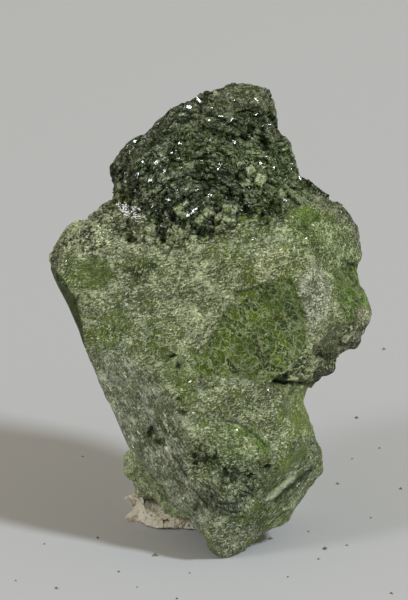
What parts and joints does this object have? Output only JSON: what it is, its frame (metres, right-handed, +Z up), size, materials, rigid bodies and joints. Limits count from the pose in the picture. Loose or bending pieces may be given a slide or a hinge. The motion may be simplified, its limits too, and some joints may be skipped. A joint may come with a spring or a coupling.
{
  "type": "diopside crystal specimen",
  "caption": "Rough green diopside crystal with a dark granular cap, standing on its broken tip and on a dab of mounting putty.",
  "frame": {"origin": "on the ground under the middle of the specimen's bounding box", "axes": "+Z up, -Y the specimen's display front with the pale cleavage face, +X to the right as seen from the front"},
  "size_m": [0.028, 0.0225, 0.0369],
  "materials": {
    "crystal": "rough silicate crystal, glittering cleavages and granular breaks",
    "putty": "dull beige kneaded putty with torn edges and mineral specks"
  },
  "bodies": {
    "root": {"crystal": "crystal", "putty": "putty"}
  },
  "joints": []
}
